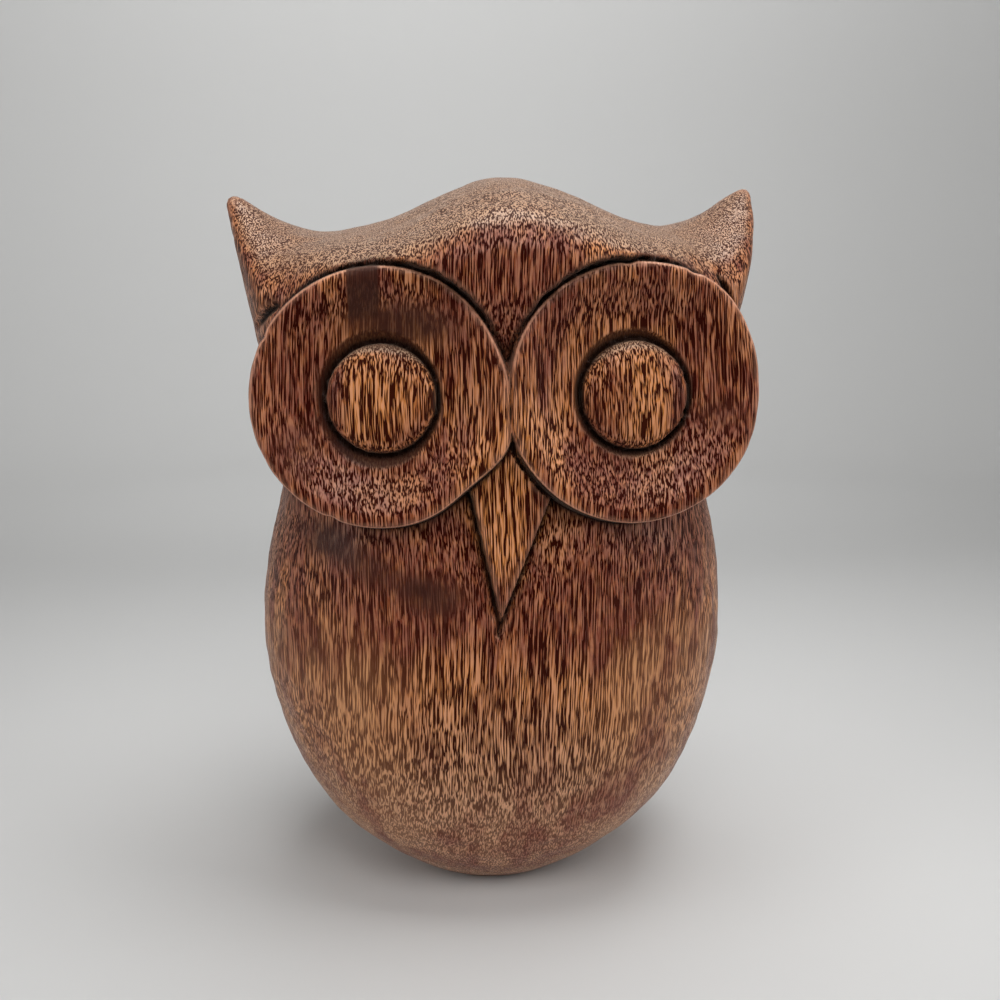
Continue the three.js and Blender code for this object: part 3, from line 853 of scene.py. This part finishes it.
    # The lacquer doesn't shine in the pores, the grooves and the pitch
    roughness = add("MapRange", mottle, 0.3, 0.7, 0.32, 0.44, **EASED)
    roughness = add("Math.ADD", roughness, add("Math.MULTIPLY", dark, 0.2))
    pits = add("Math.MAXIMUM", add("Math.MAXIMUM", dark, groove), add("Math.MULTIPLY", pitch, 0.7))
    tints = {6: (1, 1, 1, 1), 7: (0.04, 0.03, 0.03, 1)}
    gloss = add("Mix", pits, out=2, named=tints, data_type="RGBA")
    relief = add("Math.MULTIPLY_ADD", dark, -1, add("Math.MULTIPLY", mottle, 0.5))
    relief = add("Math.MULTIPLY_ADD", fibres, 0.35, relief)
    bump = add("Bump", named={"Height": relief, "Distance": PORE_DEPTH, "Strength": 1})
    surface = {"Base Color": wood, "Roughness": roughness, "Specular Tint": gloss, "Normal": bump}
    for name, socket in surface.items():
        tree.links.new(socket, shader.inputs[name])
    for name, value in LACQUER.items():
        shader.inputs[name].default_value = value
    shader.inputs["Sheen Tint"].default_value = (*finish.film, 1)
    return material


# Stain patches: x and height of the middle, half sizes and strength, on the front
STAIN_CRISPNESS = 1.5
STAINS = (
    (-45, 132, 12, 26, 1.0),
    (-24, 118, 16, 9, 0.5),
    (-22, 152, 14, 8, 0.8),
    (48, 133, 11, 22, 1.0),
    (30, 155, 22, 7, 0.7),
    (28, 112, 20, 9, 0.5),
    (2, 148, 15, 20, 0.95),
    (-30, 95, 26, 16, 0.8),
    (32, 95, 24, 16, 0.8),
    (2, 80, 30, 13, 1.0),
    (-60, 166, 12, 14, 0.4),
    (60, 168, 12, 12, 0.4),
    (-28, 132.8, 11, 11, -1.0),
    (30.4, 133, 11, 11, -0.3),
    (1.5, 102, 7, 16, -0.6),
    (0, 127, 13, 20, -0.3),
    (-4, 56, 46, 22, -0.7),
)

# Pitch: smooth dark patches that hide the pores, sized in the same way, and how crisp
PITCH = (
    (-23.5, 148.5, 13, 5.2, 0.85, 2),
    (-40.5, 98, 6.5, 5.0, 0.85, 1.5),
    (-32, 93.5, 6, 4, 0.6, 1.5),
    (-24, 90, 6, 3.5, 0.5, 1.5),
    (-16, 87, 7, 5, 0.85, 1.5),
    (-47, 121, 5, 6, 0.4, 1.5),
    (49.5, 128, 5, 4, 0.35, 1.5),
)

# What a mark starts and ends at: how far a groove lies under the smoothed surface, where it is
# darkened as stain and painted shade, how far an edge stands out of it, where it is paled as wear
# and a painted highlight, how deep an ear cut is as a share, and how level end grain faces
SHADED_AND_STAINED_DEPTHS, WORN_AND_HIGHLIGHT_HEIGHTS = (0.2 * MM, 0.8 * MM), (0.12 * MM, 0.3 * MM)
SHADED_AND_STAINED_CUTS, END_GRAIN_FACING = (0.15, 0.5), (0.4, 0.8)
FINE_SMOOTHING, WIDE_SMOOTHING = 3, 14

# On a disc: the sines of the directions downwards over which the dark band of stain and painted
# shadow round the rim gets narrower, and by how much. Its open side walls, where that painted
# shade is lightened: the heights, the gaps from the rim in mm and the sines
UNDER_DISC, UNDER_CRISPNESS = (0.3, -0.4), 0.5
WALL_HEIGHTS, WALL_GAPS, WALL_SLANTS = (-0.2 * MM, -1.2 * MM), (1.6, 0.9), (0.65, 0.2)
OFF_THE_DISCS, FAR_OFF = -0.5, 90.0


def patches_at(points, patches):
    """How strong the named patches are at each point of the front."""
    total = np.zeros(len(points))
    for x, z, half_width, half_height, strength, crispness in patches:
        across = np.abs(points[:, 0] / MM - x) / half_width
        up = np.abs(points[:, 2] / MM - z) / half_height
        total += strength * np.exp(-((across ** 2 + up ** 2) ** crispness))
    return np.clip(total * (points[:, 1] < 0), -1, 1)


def face_marks(points, sizes):
    """How far each point is from a pupil, a ring groove's outer side, a disc's rim and the
    beak's outline, in mm, and which points are on a disc's open side wall."""
    x, y, z = points.T
    marks = np.full((3, len(points)), FAR_OFF)
    wall = np.zeros(len(points))
    for disc in (DiscShape(disc, sizes) for disc in DISCS):
        across, direction, height = disc.local(x, y, z)
        here = height > -DISC_WALL
        pupil_across, pupil_direction, _ = disc.local(x, y, z, disc.disc["pupil_shift"])
        from_pupil = (pupil_across - sizes.pupil_radius) / MM
        from_groove = (pupil_across - disc.groove_reach(pupil_direction)) / MM
        # Below the disc the distance is stretched, so the band of stain and painted shadow under the rim
        # is narrower
        below = smoothstep(*UNDER_DISC, np.sin(direction))
        gap = (across - disc.rim(direction)) / MM * (1 + UNDER_CRISPNESS * below)
        marks = np.where(here, np.minimum(marks, (from_pupil, from_groove, gap)), marks)
        # On the open side walls the painted shade round the rim is lightened; above and below the disc it
        # stays dark
        beside = smoothstep(*WALL_HEIGHTS, height) * smoothstep(*WALL_GAPS, np.abs(gap))
        beside = beside * smoothstep(*WALL_SLANTS, np.abs(np.sin(direction)))
        wall = np.where(here, np.maximum(wall, beside), wall)
    by_beak = (z < BEAK_MARK_LEVEL) & (y < BEAK_ROOT_Y) & (marks[2] > OFF_THE_DISCS)
    return *marks, np.where(by_beak, beak_distance(x, z) / MM, FAR_OFF), wall


def neighbour_mean(values, edges, count):
    """Mean of each point's neighbours along the mesh's edges."""
    total = np.zeros_like(values)
    for axis in range(values.shape[1]):
        total[:, axis] = np.bincount(edges[:, 0], values[edges[:, 1], axis], minlength=len(values))
        total[:, axis] += np.bincount(edges[:, 1], values[edges[:, 0], axis], minlength=len(values))
    return total / count[:, None]


def read_out(items, name, width, kind=float):
    values = np.empty(len(items) * width, kind)
    items.foreach_get(name, values)
    return values.reshape(-1, width)


def hollowness(mesh, passes):
    """The points and normals, and how far each point lies under (positive) or over the
    smoothed surface, in metres."""
    points = read_out(mesh.vertices, "co", 3)
    normals = read_out(mesh.vertices, "normal", 3)
    edges = read_out(mesh.edges, "vertices", 2, np.int64)
    count = np.maximum(np.bincount(edges.ravel(), minlength=len(points)), 1)
    smooth = points.copy()
    for _ in range(passes):
        smooth = neighbour_mean(smooth, edges, count)
    return points, normals, ((smooth - points) * normals).sum(1)


class OWL_OT_carving(bpy.types.Operator):
    """Carve the owl and stain it"""

    bl_idname = "owl.carving"
    bl_label = "Carve the Owl"

    def execute(self, context):
        sizes = context.scene.owl_sizes
        lines = [graded(breaks) for breaks in (SKIN_X, SKIN_Y, SKIN_Z)]
        points, quads = skin(lambda x, y, z: owl_distance(x, y, z, sizes), lines)
        points, quads = largest_shell(points, quads)
        points[:, 2] = np.maximum(points[:, 2], 0)
        if not len(quads):
            raise RuntimeError("The carving has no surface")
        mesh = bpy.data.meshes.new("Owl carving")
        mesh.from_pydata(points.tolist(), [], quads.tolist())
        mesh.validate()
        mesh.shade_smooth()
        mesh.update()
        places, normals, fine = hollowness(mesh, FINE_SMOOTHING)
        _, _, wide = hollowness(mesh, WIDE_SMOOTHING)
        cuts = sum(DiscShape(disc, sizes).ear_cut(*places.T) for disc in DISCS) / EAR_CUT_DEPTH
        marks = (
            # Dark in the grooves, hollows and ear cuts: stain with painted shade
            np.maximum(smoothstep(*SHADED_AND_STAINED_DEPTHS, wide), smoothstep(*SHADED_AND_STAINED_CUTS, cuts)),
            # Paler on high edges: wear with a painted highlight
            smoothstep(*WORN_AND_HIGHLIGHT_HEIGHTS, -fine),
            smoothstep(*END_GRAIN_FACING, normals[:, 2]),
            patches_at(places, [(*stain, STAIN_CRISPNESS) for stain in STAINS]),
            patches_at(places, PITCH),
            *face_marks(places, sizes),
        )
        for name, values in zip(MARKS, marks):
            layer = mesh.attributes.new(name, "FLOAT", "POINT")
            layer.data.foreach_set("value", values.astype(np.float32))
        owl = bpy.data.objects.new("Owl_carving", mesh)
        context.scene.collection.objects.link(owl)
        mesh.materials.append(stained_hardwood(context.scene.owl_finish))
        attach(owl, "root")
        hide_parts(NODE)
        return {"FINISHED"}


# Camera: a 45 mm lens at the height of the owl's brow, a little to the left
CAMERA_LENS = 45
SENSOR_WIDTH = 36
CAMERA_NEAR = 10 * MM
CAMERA_AZIMUTH = math.radians(-4.8)
CAMERA_ELEVATION = math.radians(12)
CAMERA_TARGET = Vector((2.68, 0, 99.13)) * MM
CAMERA_DISTANCE = 332.5 * MM

# Floor: a flat round, then a bend up into a wall
FLOOR_RADIUS = 0.6
BEND_RADIUS = 0.3
WALL_HEIGHT = 0.9
SWEEP_STEPS, BEND_STEPS = 128, 12
BACKDROP_ROUGHNESS = 0.7

# Soft boxes, with their spread in degrees. Those that light the walls stand in a ring over
# the owl and face outwards, and the one on the wall behind is the strongest
OWL_MIDDLE = (0, 0, 0.09)
TOP_LIGHT = {"place": (0.07, -0.02, 0.62), "size": 0.4, "spread": 140}
FRONT_LIGHT = {"place": (0.03, -0.62, 0.68), "size": 0.5, "spread": 60}
SIDE_LIGHT_OUT, SIDE_LIGHT_Y, SIDE_LIGHT_HEIGHT = 0.42, -0.16, 0.24
SIDE_LIGHT = {"size": 0.36, "spread": 60}
WALL_LIGHT_OUT, WALL_LIGHT_HEIGHT, WALL_AIM_HEIGHT = 0.25, 0.58, 0.5
WALL_LIGHT = {"size": 0.4, "spread": 150}
ROOM_COLOUR = "#EDEEF0"


def make_camera(scene):
    data = bpy.data.cameras.new("Camera")
    data.lens = CAMERA_LENS
    data.sensor_width = SENSOR_WIDTH
    data.clip_start = CAMERA_NEAR
    camera = bpy.data.objects.new("Camera", data)
    scene.collection.objects.link(camera)
    back = Vector((
        math.sin(CAMERA_AZIMUTH) * math.cos(CAMERA_ELEVATION),
        -math.cos(CAMERA_AZIMUTH) * math.cos(CAMERA_ELEVATION),
        math.sin(CAMERA_ELEVATION),
    ))
    camera.location = CAMERA_TARGET + back * CAMERA_DISTANCE
    camera.rotation_euler = back.to_track_quat("Z", "Y").to_euler()
    scene.camera = camera


def soft_light(scene, name, watts, place, size, spread, aim=OWL_MIDDLE):
    """A square soft box at place, facing its aim, with a grid that narrows its spread."""
    data = bpy.data.lights.new(name, "AREA")
    data.size = size
    data.energy = watts
    data.spread = math.radians(spread)
    light = bpy.data.objects.new(name, data)
    scene.collection.objects.link(light)
    light.location = place
    light.rotation_euler = (Vector(place) - Vector(aim)).to_track_quat("Z", "Y").to_euler()


def painted_board(look):
    """Matt painted board, the plain pale paper of a photographer's sweep."""
    material = bpy.data.materials.new("Matt painted board")
    material.use_nodes = True
    shader = material.node_tree.nodes["Principled BSDF"]
    shader.inputs["Base Color"].default_value = (*look.floor, 1)
    shader.inputs["Roughness"].default_value = BACKDROP_ROUGHNESS
    return material


def round_sweep():
    """Corners and faces of a flat floor with a bend and a wall all round it, so that the owl
    stands on a plain pale ground from every side."""
    profile = [(FLOOR_RADIUS, 0.0)]
    for step in range(1, BEND_STEPS + 1):
        turn = step / BEND_STEPS * math.pi / 2
        out = FLOOR_RADIUS + BEND_RADIUS * math.sin(turn)
        profile.append((out, BEND_RADIUS * (1 - math.cos(turn))))
    profile.append((FLOOR_RADIUS + BEND_RADIUS, WALL_HEIGHT))
    turns = [2 * math.pi * step / SWEEP_STEPS for step in range(SWEEP_STEPS)]
    corners = [(out * math.cos(turn), out * math.sin(turn), z) for out, z in profile for turn in turns]
    faces = [tuple(range(SWEEP_STEPS))]
    for ring in range(0, (len(profile) - 1) * SWEEP_STEPS, SWEEP_STEPS):
        for here in range(SWEEP_STEPS):
            after = (here + 1) % SWEEP_STEPS
            outer = ring + SWEEP_STEPS
            faces.append((ring + here, outer + here, outer + after, ring + after))
    return corners, faces


class OWL_OT_stage(bpy.types.Operator):
    """Set up the pale floor, the soft lights and the camera"""

    bl_idname = "owl.stage"
    bl_label = "Set the Stage"

    def execute(self, context):
        scene = context.scene
        look = scene.owl_stage
        mesh = bpy.data.meshes.new("Floor sweep")
        corners, faces = round_sweep()
        mesh.from_pydata(corners, [], faces)
        mesh.shade_smooth()
        mesh.materials.append(painted_board(look))
        floor = bpy.data.objects.new("Floor_sweep", mesh)
        scene.collection.objects.link(floor)
        soft_light(scene, "Top soft box", look.key_power, **TOP_LIGHT)
        soft_light(scene, "Front soft box", look.fill_power, **FRONT_LIGHT)
        for turn in range(4):
            way = Vector((math.cos(turn * math.pi / 2), math.sin(turn * math.pi / 2), 0))
            watts = look.backdrop_power if turn == 1 else look.wall_power
            place = way * WALL_LIGHT_OUT + Vector((0, 0, WALL_LIGHT_HEIGHT))
            aim = way * (FLOOR_RADIUS + BEND_RADIUS) + Vector((0, 0, WALL_AIM_HEIGHT))
            soft_light(scene, "Wall light", watts, place, aim=aim, **WALL_LIGHT)
        for side in (-1, 1):
            place = (side * SIDE_LIGHT_OUT, SIDE_LIGHT_Y, SIDE_LIGHT_HEIGHT)
            soft_light(scene, "Side soft box", look.side_power, place, **SIDE_LIGHT)
        scene.view_settings.view_transform = "Standard"
        world = bpy.data.worlds.new("Pale room")
        world.use_nodes = True
        room = world.node_tree.nodes["Background"]
        room.inputs["Color"].default_value = (*linear(ROOM_COLOUR), 1)
        room.inputs["Strength"].default_value = look.surround
        scene.world = world
        make_camera(scene)
        return {"FINISHED"}


class OWL_PT_panel(bpy.types.Panel):
    """The owl's sizes, colours and steps"""

    bl_idname = "OWL_PT_panel"
    bl_label = "Carved Owl"
    bl_space_type = "VIEW_3D"
    bl_region_type = "UI"
    bl_category = "Owl"

    def draw(self, context):
        layout = self.layout
        for group in (context.scene.owl_sizes, context.scene.owl_finish, context.scene.owl_stage):
            box = layout.box()
            for name in group.__annotations__:
                box.prop(group, name)
        layout.operator(OWL_OT_carving.bl_idname)
        layout.operator(OWL_OT_stage.bl_idname)


CLASSES = (CarvingSizes, FinishColours, StageLook, OWL_OT_carving, OWL_OT_stage, OWL_PT_panel)


def register():
    for kind in CLASSES:
        bpy.utils.register_class(kind)
    bpy.types.Scene.owl_sizes = bpy.props.PointerProperty(type=CarvingSizes)
    bpy.types.Scene.owl_finish = bpy.props.PointerProperty(type=FinishColours)
    bpy.types.Scene.owl_stage = bpy.props.PointerProperty(type=StageLook)


def unregister():
    del bpy.types.Scene.owl_stage
    del bpy.types.Scene.owl_finish
    del bpy.types.Scene.owl_sizes
    for kind in reversed(CLASSES):
        bpy.utils.unregister_class(kind)


def main():
    register()
    bpy.ops.owl.carving()
    bpy.ops.owl.stage()


if __name__ == "__main__":
    main()
